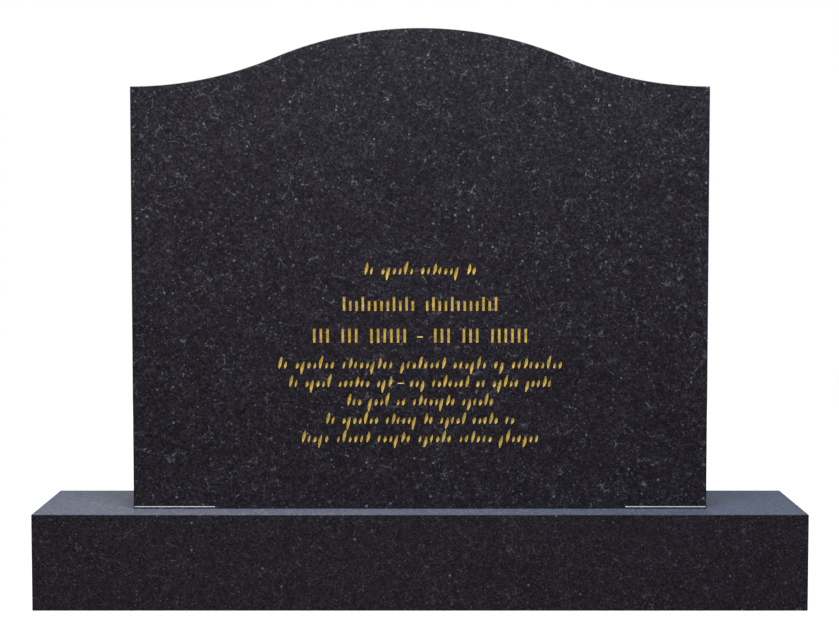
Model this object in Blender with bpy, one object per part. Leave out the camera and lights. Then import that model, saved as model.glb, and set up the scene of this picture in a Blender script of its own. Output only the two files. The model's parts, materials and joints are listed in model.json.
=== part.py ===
"""An upright granite headstone: a tablet with a serpentine top, standing on a rectangular base stone.

Metres, +Z up. The origin is the middle of the base's underside, and the inscribed face looks along -Y.
The inscription is rows of shallow V-cut strokes, which keep the lines and word spaces of an
inscription without being letters.
"""

import math

import bmesh
import bpy
from mathutils import Vector

# Base stone
BASE_WIDTH = 1.200
BASE_DEPTH = 0.250
BASE_HEIGHT = 0.150

# Tablet: heights are above its own foot
TABLET_WIDTH = 0.900
TABLET_THICKNESS = 0.134
SHOULDER_HEIGHT = 0.660
CREST_RISE = 0.090
TOP_ARC_STEPS = 14

# Rounded-over edges of both stones, and the bed joint between them
ARRIS = 0.0010
ARRIS_SEGMENTS = 2
ARRIS_MIN_ANGLE = math.radians(40)
BED_GAP = 0.0003

# V-cut strokes: depth for each unit of half width, and how far a cutter stands out of the face
GROOVE_SLOPE = 0.6
CUTTER_PROUD = 0.0002
SWING_ANGLE = math.radians(137.5)

# Hands of cutting. Heights are above the baseline, and width is a full stroke's. Fine is the share
# of it that every other low stroke has, and tip the share that a stroke ends with. Bow is the
# bend's share of a stroke's length, waver the share that heights differ by, and gap a word space
# in strokes. A dash is a level stroke with sizes of its own. The rhythm runs on along a row: T is a
# tall stroke, l a low one, and d one that hangs below the baseline.
SCRIPT_HAND = {
    "low": 0.0100, "tall": 0.0182, "drop": 0.0085, "width": 0.0048, "fine": 0.80,
    "lean": math.radians(13), "tip": 0.30, "bow": 0.05, "waver": 0.10, "gap": 1.0,
    "dash_height": 0.0058, "dash_length": 0.0118, "dash_width": 0.0017,
    "stations": 5, "rhythm": "TlldllTlllTllld",
}
NAME_HAND = {
    "low": 0.0157, "tall": 0.0221, "drop": 0.0, "width": 0.0038, "fine": 1.0,
    "lean": 0.0, "tip": 1.0, "bow": 0.0, "waver": 0.0, "gap": 1.3,
    "dash_height": 0.0092, "dash_length": 0.0090, "dash_width": 0.0021,
    "stations": 2, "rhythm": "TllTllllTlTll",
}
DATE_HAND = dict(NAME_HAND, rhythm="T")

# Row baselines above the tablet's foot
OPENING_BASELINE = 0.3684
NAME_BASELINE = 0.3113
DATES_BASELINE = 0.2615
VERSE_BASELINE = 0.2211
VERSE_PITCH = 0.0290

# Row widths
OPENING_WIDTH = 0.178
NAME_WIDTH = 0.247
DATES_WIDTH = 0.341
VERSE_WIDTHS = (0.448, 0.414, 0.232, 0.298, 0.375)

# How many strokes each word of a row has. A word of none is a dash.
OPENING_STROKE_COUNTS = (2, 6, 7, 2)
NAME_STROKE_COUNTS = (12, 12)
DATES_STROKE_COUNTS = (3, 3, 6, 0, 3, 3, 6)
VERSE_1_STROKE_COUNTS = (2, 7, 9, 8, 6, 2, 9)
VERSE_2_STROKE_COUNTS = (2, 5, 6, 3, 0, 3, 7, 2, 5, 5)
VERSE_3_STROKE_COUNTS = (3, 4, 2, 8, 6)
VERSE_4_STROKE_COUNTS = (2, 7, 6, 2, 5, 5, 2)
VERSE_5_STROKE_COUNTS = (5, 6, 6, 6, 6, 7)

# Two fine ruled lines along the foot of the face, one in from each side. They keep clear of the
# rounded edges: the margin is at their outer ends, and the rise is their middle's above the edge.
RULE_LENGTH = 0.126
RULE_WIDTH = 0.0017
RULE_MARGIN = 0.0005
RULE_RISE = 0.0022

# Finishes: colour as linear red, green and blue, then roughness, then how metallic
FINISHES = {
    "base_granite": ((0.019, 0.016, 0.022), 0.30, 0.0),
    "tablet_granite": ((0.025, 0.023, 0.029), 0.30, 0.0),
    "gilding": ((0.690, 0.480, 0.085), 0.45, 0.25),
    "pale_paint": ((0.50, 0.50, 0.515), 0.55, 0.0),
}


def clear_scene():
    for thing in list(bpy.data.objects):
        bpy.data.objects.remove(thing)


def make_material(name):
    colour, roughness, metallic = FINISHES[name]
    material = bpy.data.materials.new(name)
    material.use_nodes = True
    shader = material.node_tree.nodes["Principled BSDF"]
    shader.inputs["Base Color"].default_value = (*colour, 1.0)
    shader.inputs["Roughness"].default_value = roughness
    shader.inputs["Metallic"].default_value = metallic
    return material


def make_object(name, bm, materials):
    bmesh.ops.recalc_face_normals(bm, faces=bm.faces)
    mesh = bpy.data.meshes.new(name)
    bm.to_mesh(mesh)
    bm.free()
    for material in materials:
        mesh.materials.append(material)
    thing = bpy.data.objects.new(name, mesh)
    bpy.context.scene.collection.objects.link(thing)
    return thing


def round_over(thing):
    """Takes the sharpness off every square edge, as a mason does with a stone."""
    bevel = thing.modifiers.new("arris", "BEVEL")
    bevel.width = ARRIS
    bevel.segments = ARRIS_SEGMENTS
    bevel.limit_method = "ANGLE"
    bevel.angle_limit = ARRIS_MIN_ANGLE


def make_base(material):
    bm = bmesh.new()
    bmesh.ops.create_cube(bm, size=1.0)
    bmesh.ops.scale(bm, vec=(BASE_WIDTH, BASE_DEPTH, BASE_HEIGHT), verts=bm.verts)
    base = make_object("base", bm, [material])
    base.location.z = BASE_HEIGHT / 2
    round_over(base)
    return base


def serpentine_half():
    """Points (x, z) of the top from the crest down to the right shoulder.

    Two arcs of one radius, level at both ends, which meet halfway: the upper bulges, the lower hollows.
    """
    half_width = TABLET_WIDTH / 2
    sweep = 2 * math.atan2(CREST_RISE, half_width)
    radius = half_width / (2 * math.sin(sweep))
    crest_height = SHOULDER_HEIGHT + CREST_RISE
    angles = [sweep * step / TOP_ARC_STEPS for step in range(TOP_ARC_STEPS + 1)]
    bulge = [(radius * math.sin(a), crest_height - radius * (1 - math.cos(a))) for a in angles]
    hollow = [
        (half_width - radius * math.sin(a), SHOULDER_HEIGHT + radius * (1 - math.cos(a)))
        for a in reversed(angles)
    ]
    return bulge + hollow[1:]


def tablet_outline():
    """The tablet's front outline as (x, z) points, once round from the crest."""
    right = serpentine_half()
    foot = [(TABLET_WIDTH / 2, 0.0), (-TABLET_WIDTH / 2, 0.0)]
    left = [(-x, z) for x, z in reversed(right[1:])]
    return right + foot + left


def make_tablet(material):
    bm = bmesh.new()
    front = -TABLET_THICKNESS / 2
    face = bm.faces.new([bm.verts.new((x, front, z)) for x, z in tablet_outline()])
    swept = bmesh.ops.extrude_face_region(bm, geom=[face])["geom"]
    back = [v for v in swept if isinstance(v, bmesh.types.BMVert)]
    bmesh.ops.translate(bm, vec=(0, TABLET_THICKNESS, 0), verts=back)
    tablet = make_object("tablet", bm, [material])
    tablet.location.z = BASE_HEIGHT + BED_GAP
    round_over(tablet)
    return tablet


def dash_line(hand, x, baseline):
    """Two ends, the bend and the width of a level stroke, as (start, end, bend, width)."""
    middle = Vector((x, baseline + hand["dash_height"]))
    reach = Vector((hand["dash_length"] / 2, 0.0))
    return middle - reach, middle + reach, 0.0, hand["dash_width"]


def stroke_line(hand, x, baseline, index):
    """Two ends, the bend and the width of the upright stroke at a place in the row's rhythm."""
    code = hand["rhythm"][index % len(hand["rhythm"])]
    swing = math.sin(index * SWING_ANGLE)
    waver = 1 + hand["waver"] * swing
    foot = -hand["drop"] * waver if code == "d" else 0.0
    head = (hand["tall"] if code == "T" else hand["low"]) * waver
    slant = math.tan(hand["lean"])
    middle_height = hand["low"] / 2
    start = Vector((x + slant * (foot - middle_height), baseline + foot))
    end = Vector((x + slant * (head - middle_height), baseline + head))
    width = hand["width"] * (hand["fine"] if code == "l" and index % 2 else 1.0)
    return start, end, hand["bow"] * (head - foot) * swing, width


def stroke_stations(hand, line):
    """Points along a stroke as (point, half width): tip wide at both ends and full in the middle."""
    start, end, bend, width = line
    tip = hand["tip"]
    along = end - start
    side = Vector((-along.y, along.x)).normalized()
    stations = []
    for step in range(hand["stations"]):
        share = step / (hand["stations"] - 1)
        swell = math.sin(math.pi * share)
        point = start + along * share + side * bend * swell
        stations.append((point, width / 2 * (tip + (1 - tip) * swell)))
    return stations


def add_groove(bm, stations):
    """One closed V-shaped cutter through the front face, along stations of (point, half width)."""
    front = -TABLET_THICKNESS / 2
    first, last = stations[0][0], stations[-1][0]
    along = (last - first).normalized()
    side = Vector((-along.y, along.x))
    rings = []
    for point, half_width in stations:
        reach = side * (half_width + CUTTER_PROUD / GROOVE_SLOPE)
        left, right = point - reach, point + reach
        rings.append((
            bm.verts.new((left.x, front - CUTTER_PROUD, left.y)),
            bm.verts.new((right.x, front - CUTTER_PROUD, right.y)),
            bm.verts.new((point.x, front + half_width * GROOVE_SLOPE, point.y)),
        ))
    for near, far in zip(rings, rings[1:]):
        for corner in range(3):
            follower = (corner + 1) % 3
            bm.faces.new((near[corner], near[follower], far[follower], far[corner]))
    bm.faces.new(rings[0])
    bm.faces.new(rings[-1])


def add_row(bm, hand, baseline, width, counts):
    """One row of strokes, centred on the tablet and spread over its width."""
    slots = sum(max(count, 1) for count in counts) + hand["gap"] * (len(counts) - 1)
    pitch = width / slots
    x = (pitch - width) / 2
    index = 0
    for count in counts:
        if count == 0:
            add_groove(bm, stroke_stations(hand, dash_line(hand, x, baseline)))
            x += pitch
        for _ in range(count):
            add_groove(bm, stroke_stations(hand, stroke_line(hand, x, baseline, index)))
            index += 1
            x += pitch
        x += pitch * hand["gap"]


def add_rule(bm, side):
    """One fine line along the foot of the face. Side is -1 for the left and 1 for the right."""
    outer = side * (TABLET_WIDTH / 2 - ARRIS - RULE_MARGIN)
    inner = outer - side * RULE_LENGTH
    height = ARRIS + RULE_RISE
    add_groove(bm, [(Vector((x, height)), RULE_WIDTH / 2) for x in (outer, inner)])


def make_cutter(name, bm, material, tablet):
    """A hidden shape that the tablet is cut with. Its faces lend the cut their material."""
    cutter = make_object(name, bm, [material])
    cutter.parent = tablet
    cutter.hide_render = True
    cutter.display_type = "WIRE"
    cut = tablet.modifiers.new(name, "BOOLEAN")
    cut.operation = "DIFFERENCE"
    cut.solver = "EXACT"
    cut.use_self = True
    cut.material_mode = "TRANSFER"
    cut.object = cutter
    return cutter


def cut_inscription(tablet, gilding):
    bm = bmesh.new()
    add_row(bm, SCRIPT_HAND, OPENING_BASELINE, OPENING_WIDTH, OPENING_STROKE_COUNTS)
    add_row(bm, NAME_HAND, NAME_BASELINE, NAME_WIDTH, NAME_STROKE_COUNTS)
    add_row(bm, DATE_HAND, DATES_BASELINE, DATES_WIDTH, DATES_STROKE_COUNTS)
    verse = (
        VERSE_1_STROKE_COUNTS,
        VERSE_2_STROKE_COUNTS,
        VERSE_3_STROKE_COUNTS,
        VERSE_4_STROKE_COUNTS,
        VERSE_5_STROKE_COUNTS,
    )
    for line, (width, counts) in enumerate(zip(VERSE_WIDTHS, verse)):
        add_row(bm, SCRIPT_HAND, VERSE_BASELINE - line * VERSE_PITCH, width, counts)
    make_cutter("inscription_cutter", bm, gilding, tablet)


def cut_rules(tablet, paint):
    bm = bmesh.new()
    add_rule(bm, -1)
    add_rule(bm, 1)
    make_cutter("rule_cutter", bm, paint, tablet)


def main():
    clear_scene()
    make_base(make_material("base_granite"))
    tablet = make_tablet(make_material("tablet_granite"))
    cut_inscription(tablet, make_material("gilding"))
    cut_rules(tablet, make_material("pale_paint"))


main()
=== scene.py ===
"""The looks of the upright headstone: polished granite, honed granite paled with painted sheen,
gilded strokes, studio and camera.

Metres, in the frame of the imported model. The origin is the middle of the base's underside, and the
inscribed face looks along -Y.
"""

import json
import math

import bmesh
import bpy
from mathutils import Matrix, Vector

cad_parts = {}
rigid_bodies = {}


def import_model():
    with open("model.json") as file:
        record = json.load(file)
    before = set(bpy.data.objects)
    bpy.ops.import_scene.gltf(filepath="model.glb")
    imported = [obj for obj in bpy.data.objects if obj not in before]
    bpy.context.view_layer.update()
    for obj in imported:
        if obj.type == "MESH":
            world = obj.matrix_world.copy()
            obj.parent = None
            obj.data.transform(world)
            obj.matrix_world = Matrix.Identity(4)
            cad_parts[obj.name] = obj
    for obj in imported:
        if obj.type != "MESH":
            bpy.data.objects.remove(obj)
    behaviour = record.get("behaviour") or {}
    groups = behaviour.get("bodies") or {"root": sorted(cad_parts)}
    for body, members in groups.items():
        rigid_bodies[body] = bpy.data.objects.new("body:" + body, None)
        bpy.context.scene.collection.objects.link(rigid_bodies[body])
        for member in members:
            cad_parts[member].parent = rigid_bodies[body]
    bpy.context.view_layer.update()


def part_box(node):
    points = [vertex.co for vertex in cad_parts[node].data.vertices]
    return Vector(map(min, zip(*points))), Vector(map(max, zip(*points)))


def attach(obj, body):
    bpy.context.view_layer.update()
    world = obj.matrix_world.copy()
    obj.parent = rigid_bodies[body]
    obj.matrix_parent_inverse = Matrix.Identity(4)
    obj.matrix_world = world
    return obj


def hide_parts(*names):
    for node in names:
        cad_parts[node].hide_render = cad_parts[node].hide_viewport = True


# Outline of the tablet that its box doesn't tell, and the rounded edges of both stones
SHOULDER_HEIGHT = 0.660
TOP_ARC_STEPS = 40
ARRIS = 0.0010
ARRIS_SEGMENTS = 4
ARRIS_MIN_ANGLE = math.radians(40)
SHARP_ANGLE = math.radians(25)
# Faces nearer level than this cosine take the honed colour, which is paled with painted sheen
LEVEL_COSINE = 0.9

# Places of the finishes in a stone's list of materials
POLISHED = 0
# The honed place is a real matt finish whose paler colour also holds painted sheen of the light from
# above
HONED_SHEEN = 1
GILDED = 2
PAINTED = 3

# V-cut strokes: depth for each unit of half width, and how far a cutter stands out of the face
GROOVE_SLOPE = 0.6
CUTTER_PROUD = 0.0002
SWING_ANGLE = math.radians(137.5)

# Hands of cutting. Heights are above the baseline, and width is a full stroke's. Fine is the share
# of it that every other low stroke has, and tip the share that a stroke ends with. Bow is the
# bend's share of a stroke's length, waver the share that heights differ by, and gap a word space
# in strokes. A dash is a level stroke with sizes of its own. The rhythm runs on along a row: T is a
# tall stroke, l a low one, and d one that hangs below the baseline.
SCRIPT_HAND = {
    "low": 0.0100, "tall": 0.0182, "drop": 0.0085, "width": 0.0048, "fine": 0.80,
    "lean": math.radians(13), "tip": 0.30, "bow": 0.05, "waver": 0.10, "gap": 1.0,
    "dash_height": 0.0058, "dash_length": 0.0118, "dash_width": 0.0017,
    "stations": 13, "rhythm": "TlldllTlllTllld",
}
NAME_HAND = {
    "low": 0.0157, "tall": 0.0221, "drop": 0.0, "width": 0.0038, "fine": 1.0,
    "lean": 0.0, "tip": 1.0, "bow": 0.0, "waver": 0.0, "gap": 1.3,
    "dash_height": 0.0092, "dash_length": 0.0090, "dash_width": 0.0021,
    "stations": 2, "rhythm": "TllTllllTlTll",
}
DATE_HAND = dict(NAME_HAND, rhythm="T")

# Rows: hand, baseline above the tablet's foot, width, and how many strokes each word has. A word
# of none is a dash.
ROWS = (
    (SCRIPT_HAND, 0.3684, 0.178, (2, 6, 7, 2)),
    (NAME_HAND, 0.3113, 0.247, (12, 12)),
    (DATE_HAND, 0.2615, 0.341, (3, 3, 6, 0, 3, 3, 6)),
    (SCRIPT_HAND, 0.2211, 0.448, (2, 7, 9, 8, 6, 2, 9)),
    (SCRIPT_HAND, 0.1921, 0.414, (2, 5, 6, 3, 0, 3, 7, 2, 5, 5)),
    (SCRIPT_HAND, 0.1631, 0.232, (3, 4, 2, 8, 6)),
    (SCRIPT_HAND, 0.1341, 0.298, (2, 7, 6, 2, 5, 5, 2)),
    (SCRIPT_HAND, 0.1051, 0.375, (5, 6, 6, 6, 6, 7)),
)

# Two fine ruled lines along the foot of the face
RULE_LENGTH = 0.126
RULE_WIDTH = 0.0017
RULE_MARGIN = 0.0005
RULE_RISE = 0.0022

# Camera: a long lens a little above the base, tilted down
CAMERA_PLACE = (-0.0008, -3.148, 0.6465)
CAMERA_TILT = math.radians(3.599)
CAMERA_LENS_MM = 84.80
CAMERA_SENSOR_MM = 36.0

# Area lights: name, place, what it points at, its width and height, watts and colour
SOFTBOXES = (
    ("key_softbox", (0.0, -1.5, 2.35), (0.0, -0.07, 0.58), (2.6, 1.0), 86.0, (1.0, 0.985, 1.0)),
    ("front_glow", (0.0, -4.6, 1.8), (0.0, 0.0, 0.7), (3.0, 1.5), 5.0, (0.55, 0.93, 1.0)),
    ("back_softbox", (0.0, 2.6, 0.58), (0.0, 0.07, 0.5), (2.2, 1.0), 20.0, (0.95, 0.97, 1.0)),
    ("side_left", (-2.6, 0.1, 1.0), (-0.5, 0.0, 0.4), (1.0, 1.6), 7.0, (1.0, 1.0, 1.0)),
    ("side_right", (2.6, 0.1, 1.0), (0.5, 0.0, 0.4), (1.0, 1.6), 7.0, (1.0, 1.0, 1.0)),
)

# A warm spot on the left end of the ledge
SPOT_PLACE = (-0.45, -0.1, 2.2)
SPOT_TARGET = (-0.30, -0.09, 0.15)
SPOT_RADIUS = 0.2
SPOT_ANGLE = math.radians(34)
SPOT_WATTS = 112.0
SPOT_COLOUR = (1.0, 0.78, 0.45)

# What the stone sees around it instead of the white that the camera sees
WHITE = (1.0, 1.0, 1.0, 1.0)
CLOTH_COLOUR = (0.85, 0.9, 1.0, 1.0)
CLOTH_STRENGTH = 0.16

# Floor: its glow grows from its first strength to 1 between the start and the end, in metres from
# the stone. Greys are how much light it throws back to the camera and to the stone.
FLOOR_RADIUS = 3.0
FLOOR_SIDES = 96
FLOOR_GLOW = 0.78
FLOOR_GLOW_START = 0.7
FLOOR_GLOW_END = 1.8
FLOOR_SHOWN_GREY = (0.5, 0.5, 0.5, 1.0)
FLOOR_BOUNCE_GREY = (0.10, 0.10, 0.10, 1.0)

# Colours are linear red, green and blue. A granite's stops run from its darkest crystals to its
# lightest.
TABLET_RAMP = (
    (0.00, (0.0058, 0.0038, 0.0066)),
    (0.30, (0.0115, 0.0090, 0.0135)),
    (0.55, (0.0215, 0.0184, 0.0252)),
    (0.80, (0.0470, 0.0450, 0.0540)),
    (1.00, (0.1050, 0.1120, 0.1350)),
)
BASE_RAMP = (
    (0.00, (0.0068, 0.0044, 0.0078)),
    (0.30, (0.0135, 0.0104, 0.0159)),
    (0.55, (0.0237, 0.0198, 0.0279)),
    (0.80, (0.0465, 0.0432, 0.0525)),
    (1.00, (0.0880, 0.0905, 0.1035)),
)
# Honed stops are paler and bluer than the polished ones: painted sheen of the overhead light on the
# level faces, over a real matt honed finish
HONED_SHEEN_RAMP = (
    (0.00, (0.0580, 0.0730, 0.1250)),
    (0.30, (0.0750, 0.0920, 0.1490)),
    (0.55, (0.0920, 0.1110, 0.1680)),
    (0.80, (0.1280, 0.1480, 0.2000)),
    (1.00, (0.1800, 0.2000, 0.2380)),
)
BLUE_FLECK = (0.140, 0.165, 0.235)
GOLD_RAMP = (
    (0.35, (0.540, 0.380, 0.080)),
    (0.65, (0.860, 0.605, 0.125)),
)
PAINT_COLOUR = (0.62, 0.62, 0.635)

# A noise is its size in metres, its detail, and for some its distortion. A range is the stretch of
# a noise or a distance over which something goes from its least to its most.
NOISE_MIDDLE = (0.5, 0.5, 0.5)

# Crystals: sizes as multiples of a look's grain, how far noise pushes their sides about, and the
# part of the picked ones that shows in full
RUFFLE_SIZE = 1.2
RUFFLE_REACH = 0.4
COARSE_SIZE = 2.0
FLECK_SIZE = 2.2
CRYSTAL_EDGE_RANGE = (0.60, 0.30)
FULLY_PICKED = 0.5

# In metres: blue flecks, thin curved seams, and the long thin crystals as (length, turn)
BLUE_FLECK_SIZE = 0.0042
SEAM_SPACING = 0.026
SEAM_WIDTH = 0.0014
SEAM_CORE = 0.3
SEAM_BEND_SIZE = 0.014
SEAM_BEND_REACH = 0.006
SEAM_STRETCH_SIZE = 0.022
SEAM_STRETCH_RANGE = (0.53, 0.60)
LATH_WIDTH = 0.0016
LATHS = (
    (0.010, (0.3, 0.5, 0.0)),
    (0.008, (-0.4, 1.6, 0.5)),
    (0.009, (0.2, 2.6, -0.5)),
)
LATH_SHARE = 0.030

# Tones: a granite's middle, how much of the fine crystals' contrast the coarse ones have, and how
# far clusters and clouds lift or lower it. Flecks crowd in clusters, and marks in patches of their
# own, which keep a share of them elsewhere.
MIDDLE_TONE = 0.42
COARSE_SHARE = 0.56
CLUSTER_NOISE = (0.011, 3.0, 0.4)
CLUSTER_RANGE = (0.25, 0.75)
CLUSTER_TONE = 0.10
CLOUD_NOISE = (0.055, 2.0, 0.5)
CLOUD_RANGE = (0.30, 0.70)
CLOUD_TONE = 0.06
FLECK_CROWD_RANGE = (0.45, 0.75)
FLECK_CROWDING = 1.2
MARK_PATCH_NOISE = (0.040, 1.0)
MARK_PATCH_RANGE = (0.42, 0.60)
MARKS_ELSEWHERE = 0.25

# Gilding and paint: a roughness runs between its two numbers
GOLD_METALLIC = 0.25
GOLD_BAND_NOISE = (0.011, 2.0, 0.8)
CRINKLE_NOISE = (0.0012, 2.0)
CRINKLE_STRENGTH = 0.25
CRINKLE_DEPTH = 0.0002
GOLD_ROUGHNESS = (0.38, 0.55)
PAINT_WEAR_NOISE = (0.004, 2.0)
PAINT_ROUGHNESS = (0.45, 0.65)
ROUGHNESS_RANGE = (0.2, 0.8)

# Each stone's look: the size of its crystals, and how strongly each feature shows
TABLET_LOOK = {
    "grain": 0.0017, "contrast": 0.42, "haze": 0.7, "flecks": 0.07, "brightness": 0.42,
    "marks": 0.40, "blue": 0.006, "roughness": (0.26, 0.36), "shine": 0.3,
}
BASE_LOOK = {
    "grain": 0.0012, "contrast": 0.50, "haze": 0.38, "flecks": 0.05, "brightness": 0.64,
    "marks": 0.29, "blue": 0.002, "roughness": (0.26, 0.36), "shine": 0.3,
}
# The look of the level faces, whose pale colour is painted sheen over a real matt honed finish
HONED_SHEEN_LOOK = {
    "grain": 0.0018, "contrast": 0.70, "haze": 0.3, "flecks": 0.06, "brightness": 0.40,
    "marks": 0.0, "blue": 0.0, "roughness": (0.72, 0.82), "shine": 0.15,
}


def clear_scene():
    for thing in list(bpy.data.objects):
        bpy.data.objects.remove(thing)


def node(tree, kind, inputs=None, **settings):
    """Adds one node. Inputs are values or other nodes' outputs, by a socket's name or number."""
    made = tree.nodes.new(kind)
    for name, value in settings.items():
        setattr(made, name, value)
    for socket, value in (inputs or {}).items():
        if isinstance(value, bpy.types.NodeSocket):
            tree.links.new(value, made.inputs[socket])
        else:
            made.inputs[socket].default_value = value
    return made


def reckon(tree, operation, first, second):
    return node(tree, "ShaderNodeMath", {0: first, 1: second}, operation=operation).outputs[0]


def total(tree, terms):
    """The sum of several values."""
    result = terms[0]
    for term in terms[1:]:
        result = reckon(tree, "ADD", result, term)
    return result


def spread(tree, value, low, high, new_low=0.0, new_high=1.0):
    """Maps a value between two limits onto two others, smoothly and without leaving them."""
    inputs = {"Value": value, 1: low, 2: high, 3: new_low, 4: new_high}
    return node(tree, "ShaderNodeMapRange", inputs, interpolation_type="SMOOTHSTEP").outputs[0]


def noise(tree, place, size, detail=2.0, distortion=0.0):
    inputs = {"Vector": place, "Scale": 1 / size, "Detail": detail, "Distortion": distortion}
    return node(tree, "ShaderNodeTexNoise", inputs).outputs[0]


def crystals(tree, place, size):
    """A random value for each crystal, and the distance from its middle in its own sizes."""
    cells = node(tree, "ShaderNodeTexVoronoi", {"Vector": place, "Scale": 1 / size})
    value = node(tree, "ShaderNodeSeparateColor", {0: cells.outputs["Color"]}).outputs[0]
    return value, cells.outputs["Distance"]


def picked_crystals(tree, place, size, share, favour=0.0):
    """Up to 1 in the middle of a share of the crystals, 0 elsewhere. Favour adds to the chances."""
    chance, distance = crystals(tree, place, size)
    luck = reckon(tree, "ADD", chance, favour)
    picked = spread(tree, luck, 1.0 - share, 1.0 - FULLY_PICKED * share)
    return reckon(tree, "MULTIPLY", picked, spread(tree, distance, *CRYSTAL_EDGE_RANGE))


def laths(tree, place, length, turn):
    """1 in a few long thin crystals that all lie one way, 0 between them."""
    inputs = {"Vector": place, "Rotation": turn, "Scale": (1.0, 1.0, length / LATH_WIDTH)}
    laid = node(tree, "ShaderNodeMapping", inputs, vector_type="TEXTURE").outputs[0]
    return picked_crystals(tree, laid, LATH_WIDTH, LATH_SHARE)


def seams(tree, place):
    """1 along stretches of the thin curved seams between big patches of the stone, 0 off them."""
    bent = ruffled(tree, place, SEAM_BEND_SIZE, SEAM_BEND_REACH)
    inputs = {"Vector": bent, "Scale": 1 / SEAM_SPACING}
    cells = node(tree, "ShaderNodeTexVoronoi", inputs, feature="DISTANCE_TO_EDGE")
    width = SEAM_WIDTH / SEAM_SPACING
    line = spread(tree, cells.outputs["Distance"], width, SEAM_CORE * width)
    stretch = spread(tree, noise(tree, place, SEAM_STRETCH_SIZE), *SEAM_STRETCH_RANGE)
    return reckon(tree, "MULTIPLY", line, stretch)


def ruffled(tree, place, size, amount):
    """Coordinates pushed about by noise, so that crystals have no straight sides."""
    push = node(tree, "ShaderNodeTexNoise", {"Vector": place, "Scale": 1 / size, "Detail": 1.0})
    inputs = {0: push.outputs["Color"], 1: NOISE_MIDDLE}
    centred = node(tree, "ShaderNodeVectorMath", inputs, operation="SUBTRACT")
    inputs = {0: centred.outputs[0], "Scale": 2 * amount}
    scaled = node(tree, "ShaderNodeVectorMath", inputs, operation="SCALE")
    moved = node(tree, "ShaderNodeVectorMath", {0: place, 1: scaled.outputs[0]}, operation="ADD")
    return moved.outputs[0]


def ramp(tree, value, stops):
    made = node(tree, "ShaderNodeValToRGB", {0: value})
    elements = made.color_ramp.elements
    while len(elements) < len(stops):
        elements.new(1.0)
    for element, (place, colour) in zip(elements, stops):
        element.position = place
        element.color = (*colour, 1.0)
    return made.outputs[0]


def mixed(tree, share, colour, other):
    """A colour with a share of another, a plain one, in it."""
    inputs = {"Fac": share, "Color1": colour, "Color2": (*other, 1.0)}
    return node(tree, "ShaderNodeMixRGB", inputs).outputs[0]


def new_material(name, metallic=0.0):
    material = bpy.data.materials.new(name)
    material.use_nodes = True
    tree = material.node_tree
    shader = tree.nodes["Principled BSDF"]
    shader.inputs["Metallic"].default_value = metallic
    place = node(tree, "ShaderNodeTexCoord").outputs["Object"]
    return material, tree, shader, place


def granite(name, stops, look):
    """Stone of fine crystals with cloudy haze, light and blue flecks, and thin light marks."""
    material, tree, shader, place = new_material(name)
    shader.inputs["Specular IOR Level"].default_value = look["shine"]
    grain = look["grain"]
    bent = ruffled(tree, place, RUFFLE_SIZE * grain, RUFFLE_REACH * grain)
    fine, _ = crystals(tree, bent, grain)
    coarse, _ = crystals(tree, bent, COARSE_SIZE * grain)
    cluster = noise(tree, place, *CLUSTER_NOISE)
    cloud = noise(tree, place, *CLOUD_NOISE)
    patch = noise(tree, place, *MARK_PATCH_NOISE)
    patchy = spread(tree, patch, *MARK_PATCH_RANGE, MARKS_ELSEWHERE, 1.0)
    drawn = total(tree, [seams(tree, place)] + [laths(tree, bent, *lath) for lath in LATHS])
    marks = reckon(tree, "MULTIPLY", drawn, patchy)
    favour = spread(tree, cluster, *FLECK_CROWD_RANGE, 0.0, FLECK_CROWDING * look["flecks"])
    light = picked_crystals(tree, bent, FLECK_SIZE * grain, look["flecks"], favour)
    fine_reach = look["contrast"] / 2
    coarse_reach = COARSE_SHARE * fine_reach
    cluster_reach = CLUSTER_TONE * look["haze"]
    cloud_reach = CLOUD_TONE * look["haze"]
    tone = total(tree, [
        spread(tree, fine, 0.0, 1.0, MIDDLE_TONE - fine_reach, MIDDLE_TONE + fine_reach),
        spread(tree, coarse, 0.0, 1.0, -coarse_reach, coarse_reach),
        spread(tree, cluster, *CLUSTER_RANGE, -cluster_reach, cluster_reach),
        spread(tree, cloud, *CLOUD_RANGE, -cloud_reach, cloud_reach),
        reckon(tree, "MULTIPLY", marks, look["marks"]),
        reckon(tree, "MULTIPLY", light, look["brightness"]),
    ])
    blue = picked_crystals(tree, bent, BLUE_FLECK_SIZE, look["blue"])
    colour = mixed(tree, blue, ramp(tree, tone, stops), BLUE_FLECK)
    tree.links.new(colour, shader.inputs["Base Color"])
    tree.links.new(spread(tree, coarse, 0.0, 1.0, *look["roughness"]), shader.inputs["Roughness"])
    return material


def gilding():
    """Gold leaf in the strokes, laid in soft light and dark bands."""
    material, tree, shader, place = new_material("gilding", GOLD_METALLIC)
    bands = noise(tree, place, *GOLD_BAND_NOISE)
    tree.links.new(ramp(tree, bands, GOLD_RAMP), shader.inputs["Base Color"])
    crinkle = noise(tree, place, *CRINKLE_NOISE)
    inputs = {"Strength": CRINKLE_STRENGTH, "Distance": CRINKLE_DEPTH, "Height": crinkle}
    bump = node(tree, "ShaderNodeBump", inputs)
    tree.links.new(bump.outputs[0], shader.inputs["Normal"])
    roughness = spread(tree, crinkle, *ROUGHNESS_RANGE, *GOLD_ROUGHNESS)
    tree.links.new(roughness, shader.inputs["Roughness"])
    return material


def pale_paint():
    """The dull pale paint of the two ruled lines."""
    material, tree, shader, place = new_material("pale_paint")
    shader.inputs["Base Color"].default_value = (*PAINT_COLOUR, 1.0)
    wear = noise(tree, place, *PAINT_WEAR_NOISE)
    roughness = spread(tree, wear, *ROUGHNESS_RANGE, *PAINT_ROUGHNESS)
    tree.links.new(roughness, shader.inputs["Roughness"])
    return material


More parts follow.
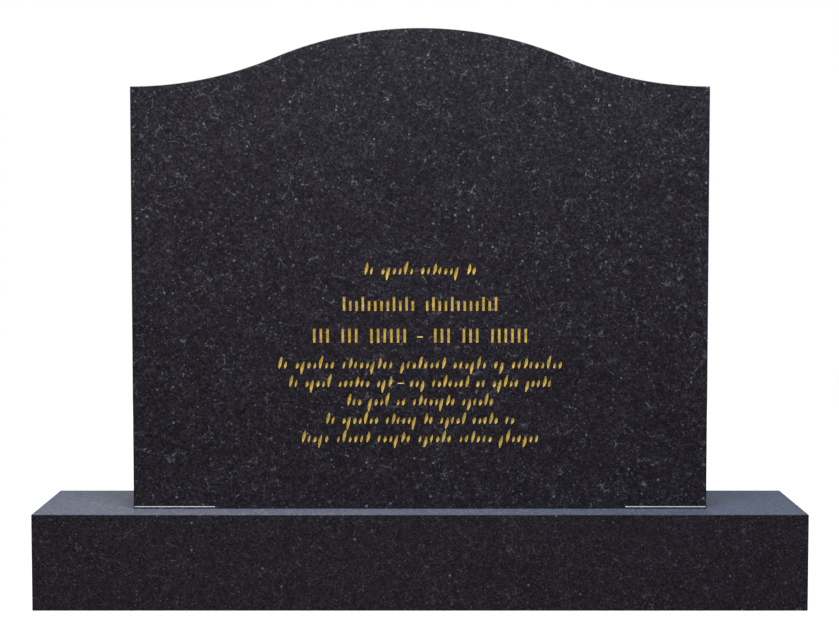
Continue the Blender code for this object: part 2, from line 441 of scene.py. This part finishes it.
def make_object(name, bm, materials):
    bmesh.ops.recalc_face_normals(bm, faces=bm.faces)
    mesh = bpy.data.meshes.new(name)
    bm.to_mesh(mesh)
    bm.free()
    for material in materials:
        mesh.materials.append(material)
    thing = bpy.data.objects.new(name, mesh)
    bpy.context.scene.collection.objects.link(thing)
    return thing


def round_over(thing):
    bevel = thing.modifiers.new("arris", "BEVEL")
    bevel.width = ARRIS
    bevel.segments = ARRIS_SEGMENTS
    bevel.limit_method = "ANGLE"
    bevel.angle_limit = ARRIS_MIN_ANGLE


def freeze(thing):
    """Turns what the modifiers make of a piece into its own mesh, and drops them."""
    graph = bpy.context.evaluated_depsgraph_get()
    mesh = bpy.data.meshes.new_from_object(thing.evaluated_get(graph))
    thing.modifiers.clear()
    thing.data = mesh
    return mesh


def finish_stone(thing):
    """Gives the faces that look up or down the honed colour, a matt finish paled with painted sheen
    of the light from above, and shades the rounded edges smooth.
    """
    mesh = freeze(thing)
    for face in mesh.polygons:
        if abs(face.normal.z) > LEVEL_COSINE and face.material_index == POLISHED:
            face.material_index = HONED_SHEEN
    mesh.shade_smooth()
    mesh.set_sharp_from_angle(angle=SHARP_ANGLE)
    weighted = thing.modifiers.new("even_shading", "WEIGHTED_NORMAL")
    weighted.keep_sharp = True
    return thing


def make_base(polished, honed_sheen):
    low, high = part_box("base")
    bm = bmesh.new()
    bmesh.ops.create_cube(bm, size=1.0)
    bmesh.ops.scale(bm, vec=high - low, verts=bm.verts)
    bmesh.ops.translate(bm, vec=(low + high) / 2, verts=bm.verts)
    base = make_object("base_stone", bm, [polished, honed_sheen])
    round_over(base)
    return finish_stone(base)


def serpentine_half(half_width, crest_height):
    """Points (x, z) of the top from the crest down to the right shoulder, as two equal arcs."""
    sweep = 2 * math.atan2(crest_height - SHOULDER_HEIGHT, half_width)
    radius = half_width / (2 * math.sin(sweep))
    angles = [sweep * step / TOP_ARC_STEPS for step in range(TOP_ARC_STEPS + 1)]
    bulge = [(radius * math.sin(a), crest_height - radius * (1 - math.cos(a))) for a in angles]
    hollow = [
        (half_width - radius * math.sin(a), SHOULDER_HEIGHT + radius * (1 - math.cos(a)))
        for a in reversed(angles)
    ]
    return bulge + hollow[1:]


def make_tablet(materials):
    """The tablet with its inscription, from materials polished, honed with painted sheen, gilding
    and paint.
    """
    low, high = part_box("tablet")
    right = serpentine_half(high.x, high.z - low.z)
    foot = [(high.x, 0.0), (low.x, 0.0)]
    left = [(-x, z) for x, z in reversed(right[1:])]
    bm = bmesh.new()
    face = bm.faces.new([bm.verts.new((x, low.y, low.z + z)) for x, z in right + foot + left])
    swept = bmesh.ops.extrude_face_region(bm, geom=[face])["geom"]
    back = [v for v in swept if isinstance(v, bmesh.types.BMVert)]
    bmesh.ops.translate(bm, vec=(0, high.y - low.y, 0), verts=back)
    tablet = make_object("tablet_stone", bm, materials)
    round_over(tablet)
    corner = Vector((high.x, low.y, low.z))
    inscription = cut_inscription(tablet, corner, materials[GILDED])
    rules = cut_rules(tablet, corner, materials[PAINTED])
    finish_stone(tablet)
    for cutter in (inscription, rules):
        bpy.data.objects.remove(cutter)
    return tablet


def dash_line(hand, x, baseline):
    """Two ends, the bend and the width of a level stroke, as (start, end, bend, width)."""
    middle = Vector((x, baseline + hand["dash_height"]))
    reach = Vector((hand["dash_length"] / 2, 0.0))
    return middle - reach, middle + reach, 0.0, hand["dash_width"]


def stroke_line(hand, x, baseline, index):
    """Two ends, the bend and the width of the upright stroke at a place in the row's rhythm."""
    code = hand["rhythm"][index % len(hand["rhythm"])]
    swing = math.sin(index * SWING_ANGLE)
    waver = 1 + hand["waver"] * swing
    foot = -hand["drop"] * waver if code == "d" else 0.0
    head = (hand["tall"] if code == "T" else hand["low"]) * waver
    slant = math.tan(hand["lean"])
    middle_height = hand["low"] / 2
    start = Vector((x + slant * (foot - middle_height), baseline + foot))
    end = Vector((x + slant * (head - middle_height), baseline + head))
    width = hand["width"] * (hand["fine"] if code == "l" and index % 2 else 1.0)
    return start, end, hand["bow"] * (head - foot) * swing, width


def stroke_stations(hand, line):
    """Points along a stroke as (point, half width): tip wide at both ends and full in the middle."""
    start, end, bend, width = line
    tip = hand["tip"]
    along = end - start
    side = Vector((-along.y, along.x)).normalized()
    stations = []
    for step in range(hand["stations"]):
        share = step / (hand["stations"] - 1)
        swell = math.sin(math.pi * share)
        point = start + along * share + side * bend * swell
        stations.append((point, width / 2 * (tip + (1 - tip) * swell)))
    return stations


def add_groove(bm, face_y, foot_z, stations):
    """One closed V-shaped cutter through the front face, along stations of (point, half width)."""
    first, last = stations[0][0], stations[-1][0]
    along = (last - first).normalized()
    side = Vector((-along.y, along.x))
    rings = []
    for point, half_width in stations:
        reach = side * (half_width + CUTTER_PROUD / GROOVE_SLOPE)
        left, right = point - reach, point + reach
        rings.append((
            bm.verts.new((left.x, face_y - CUTTER_PROUD, foot_z + left.y)),
            bm.verts.new((right.x, face_y - CUTTER_PROUD, foot_z + right.y)),
            bm.verts.new((point.x, face_y + half_width * GROOVE_SLOPE, foot_z + point.y)),
        ))
    for near, far in zip(rings, rings[1:]):
        for corner in range(3):
            follower = (corner + 1) % 3
            bm.faces.new((near[corner], near[follower], far[follower], far[corner]))
    bm.faces.new(rings[0])
    bm.faces.new(rings[-1])


def add_row(bm, face_y, foot_z, row):
    """One row of strokes, centred on the tablet and spread over its width."""
    hand, baseline, width, counts = row
    slots = sum(max(count, 1) for count in counts) + hand["gap"] * (len(counts) - 1)
    pitch = width / slots
    x = (pitch - width) / 2
    index = 0
    for count in counts:
        if count == 0:
            add_groove(bm, face_y, foot_z, stroke_stations(hand, dash_line(hand, x, baseline)))
            x += pitch
        for _ in range(count):
            line = stroke_line(hand, x, baseline, index)
            add_groove(bm, face_y, foot_z, stroke_stations(hand, line))
            index += 1
            x += pitch
        x += pitch * hand["gap"]


def make_cutter(name, bm, material, stone):
    """A shape that the stone is cut with. Its faces lend the cut their material."""
    cutter = make_object(name, bm, [material])
    cutter.hide_render = True
    cut = stone.modifiers.new(name, "BOOLEAN")
    cut.operation = "DIFFERENCE"
    cut.solver = "EXACT"
    cut.use_self = True
    cut.material_mode = "TRANSFER"
    cut.object = cutter
    return cutter


def cut_inscription(tablet, corner, gold):
    bm = bmesh.new()
    for row in ROWS:
        add_row(bm, corner.y, corner.z, row)
    return make_cutter("inscription_cutter", bm, gold, tablet)


def cut_rules(tablet, corner, paint):
    bm = bmesh.new()
    outer = corner.x - ARRIS - RULE_MARGIN
    height = ARRIS + RULE_RISE
    for side in (-1, 1):
        ends = [Vector((side * x, height)) for x in (outer, outer - RULE_LENGTH)]
        add_groove(bm, corner.y, corner.z, [(end, RULE_WIDTH / 2) for end in ends])
    return make_cutter("rule_cutter", bm, paint, tablet)


def aim(thing, target):
    thing.rotation_mode = "QUATERNION"
    thing.rotation_quaternion = (Vector(target) - thing.location).to_track_quat("-Z", "Y")


def place_light(name, light, place, target, power, colour):
    light.energy = power
    light.color = colour
    thing = bpy.data.objects.new(name, light)
    bpy.context.scene.collection.objects.link(thing)
    thing.location = place
    aim(thing, target)


def softbox(name, place, target, size, power, colour):
    light = bpy.data.lights.new(name, "AREA")
    light.shape = "RECTANGLE"
    light.size, light.size_y = size
    place_light(name, light, place, target, power, colour)


def soft_spot(name, place, target, radius, angle, power, colour):
    """A spot with a wholly soft edge."""
    light = bpy.data.lights.new(name, "SPOT")
    light.shadow_soft_size = radius
    light.spot_size = angle
    light.spot_blend = 1.0
    place_light(name, light, place, target, power, colour)


def light_studio():
    """A key from above, a dim glow in front for the polish, fills, and the spot on the ledge."""
    for lamp in SOFTBOXES:
        softbox(*lamp)
    soft_spot(
        "left_spot", SPOT_PLACE, SPOT_TARGET, SPOT_RADIUS, SPOT_ANGLE, SPOT_WATTS, SPOT_COLOUR
    )


def light_world():
    """White to the camera, and dim to everything else, as in a studio hung with dark cloth."""
    world = bpy.data.worlds.new("studio")
    bpy.context.scene.world = world
    world.use_nodes = True
    tree = world.node_tree
    tree.nodes.clear()
    seen = node(tree, "ShaderNodeBackground", {"Color": WHITE, "Strength": 1.0})
    cloth = node(tree, "ShaderNodeBackground", {"Color": CLOTH_COLOUR, "Strength": CLOTH_STRENGTH})
    ray = node(tree, "ShaderNodeLightPath").outputs["Is Camera Ray"]
    mix = node(tree, "ShaderNodeMixShader", {0: ray, 1: cloth.outputs[0], 2: seen.outputs[0]})
    node(tree, "ShaderNodeOutputWorld", {"Surface": mix.outputs[0]})


def lay_floor():
    """A pale floor that the headstone stands on. It looks white but throws little light back.

    Its glow grows with the distance from the stone until it meets the white behind it unseen.
    """
    bm = bmesh.new()
    bmesh.ops.create_circle(bm, cap_ends=True, radius=FLOOR_RADIUS, segments=FLOOR_SIDES)
    material = bpy.data.materials.new("floor")
    material.use_nodes = True
    tree = material.node_tree
    tree.nodes.clear()
    place = node(tree, "ShaderNodeTexCoord").outputs["Object"]
    distance = node(tree, "ShaderNodeVectorMath", {0: place}, operation="LENGTH").outputs["Value"]
    strength = spread(tree, distance, FLOOR_GLOW_START, FLOOR_GLOW_END, FLOOR_GLOW, 1.0)
    pale = node(tree, "ShaderNodeBsdfDiffuse", {"Color": FLOOR_SHOWN_GREY})
    glow = node(tree, "ShaderNodeEmission", {"Color": WHITE, "Strength": strength})
    bright = node(tree, "ShaderNodeAddShader", {0: pale.outputs[0], 1: glow.outputs[0]})
    dull = node(tree, "ShaderNodeBsdfDiffuse", {"Color": FLOOR_BOUNCE_GREY})
    ray = node(tree, "ShaderNodeLightPath").outputs["Is Camera Ray"]
    mix = node(tree, "ShaderNodeMixShader", {0: ray, 1: dull.outputs[0], 2: bright.outputs[0]})
    node(tree, "ShaderNodeOutputMaterial", {"Surface": mix.outputs[0]})
    make_object("floor", bm, [material])


def set_camera():
    data = bpy.data.cameras.new("camera")
    data.lens = CAMERA_LENS_MM
    data.sensor_width = CAMERA_SENSOR_MM
    camera = bpy.data.objects.new("camera", data)
    bpy.context.scene.collection.objects.link(camera)
    camera.location = CAMERA_PLACE
    camera.rotation_euler = (math.pi / 2 - CAMERA_TILT, 0.0, 0.0)
    bpy.context.scene.camera = camera


def main():
    clear_scene()
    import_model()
    bpy.context.scene.view_settings.view_transform = "Standard"
    set_camera()
    light_studio()
    light_world()
    lay_floor()
    # Honed granite for the level faces, paled with painted sheen of the light from above
    honed_sheen = granite("honed_granite_painted_sheen", HONED_SHEEN_RAMP, HONED_SHEEN_LOOK)
    base_polish = granite("base_granite", BASE_RAMP, BASE_LOOK)
    tablet_polish = granite("tablet_granite", TABLET_RAMP, TABLET_LOOK)
    base = make_base(base_polish, honed_sheen)
    tablet = make_tablet([tablet_polish, honed_sheen, gilding(), pale_paint()])
    for piece, name in ((base, "base"), (tablet, "tablet")):
        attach(piece, "root")
        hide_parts(name)


main()
